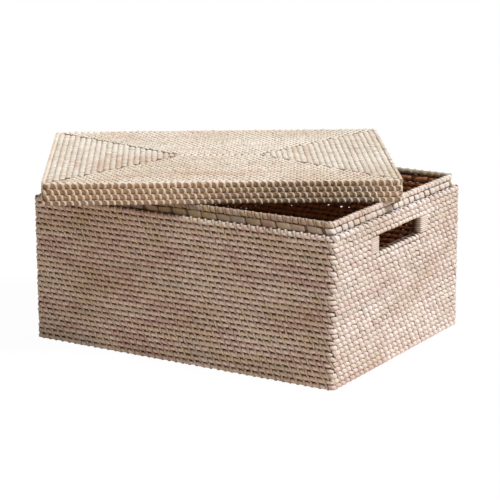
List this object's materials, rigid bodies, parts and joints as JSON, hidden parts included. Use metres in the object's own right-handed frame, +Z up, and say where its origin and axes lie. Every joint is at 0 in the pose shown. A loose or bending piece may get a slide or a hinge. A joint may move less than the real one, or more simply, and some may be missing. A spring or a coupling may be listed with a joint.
{
  "type": "woven storage box with lid",
  "caption": "Rectangular woven rattan storage box with a raised lip, a cut-out hand hold in each end and a shallow lift-off lid lying askew on the lip.",
  "frame": {"origin": "middle of the box's underside, on the surface it stands on", "axes": "+X along the box's length towards the right end, +Y towards the back, +Z up"},
  "size_m": [0.589, 0.559, 0.2459],
  "materials": {
    "woven_panel": "pale washed rattan, woven, satin to matte",
    "lining": "natural rattan, woven, matte",
    "border": "pale washed rattan rod with overcast strands",
    "binding": "pale washed rattan strand, close wrapped"
  },
  "bodies": {
    "box": {"base_panel": "woven_panel", "foot_border_front": "border", "foot_border_right": "border", "foot_border_back": "border", "foot_border_left": "border", "outer_wall_front": "woven_panel", "outer_wall_right": "woven_panel", "outer_wall_back": "woven_panel", "outer_wall_left": "woven_panel", "shoulder_border_front": "border", "shoulder_border_right": "border", "shoulder_border_back": "border", "shoulder_border_left": "border", "inner_wall_front": "lining", "inner_wall_right": "lining", "inner_wall_back": "lining", "inner_wall_left": "lining", "lip_border_front": "border", "lip_border_right": "border", "lip_border_back": "border", "lip_border_left": "border", "hand_hold_right_top_rail": "binding", "hand_hold_right_bottom_rail": "binding", "hand_hold_right_front_jamb": "binding", "hand_hold_right_back_jamb": "binding", "hand_hold_left_top_rail": "binding", "hand_hold_left_bottom_rail": "binding", "hand_hold_left_front_jamb": "binding", "hand_hold_left_back_jamb": "binding"},
    "lid": {"lid_hem_front": "border", "lid_hem_right": "border", "lid_hem_back": "border", "lid_hem_left": "border", "lid_side_front": "woven_panel", "lid_side_right": "woven_panel", "lid_side_back": "woven_panel", "lid_side_left": "woven_panel", "lid_edge_front": "border", "lid_edge_right": "border", "lid_edge_back": "border", "lid_edge_left": "border", "lid_top": "woven_panel"}
  },
  "joints": [
    {"name": "lid_lift", "type": "slide", "parent": "box", "child": "lid", "axis": [0, 0, 1], "range_m": [0, 0.15]}
  ]
}
